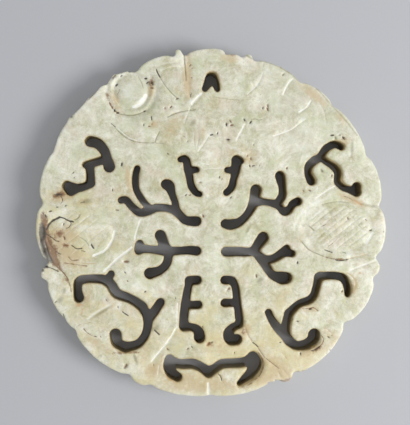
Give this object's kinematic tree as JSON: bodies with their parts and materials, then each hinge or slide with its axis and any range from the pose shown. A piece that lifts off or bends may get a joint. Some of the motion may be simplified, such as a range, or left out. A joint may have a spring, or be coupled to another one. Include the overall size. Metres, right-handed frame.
{
  "type": "openwork jade plaque",
  "caption": "Round lobed jade plaque pierced with fine sawn slots, with a hanging hole near its rim.",
  "frame": {"origin": "on the back face, under the middle of the disc", "axes": "+Z out of the carved front, +Y from the middle of the disc towards the hanging hole"},
  "size_m": [0.0587, 0.0582, 0.005],
  "materials": {
    "jade": "pale celadon jade, polished by wear, mottled grey green and tan, with brown dirt in the pits and grooves"
  },
  "bodies": {
    "root": {"jade_plaque": "jade"}
  },
  "joints": []
}
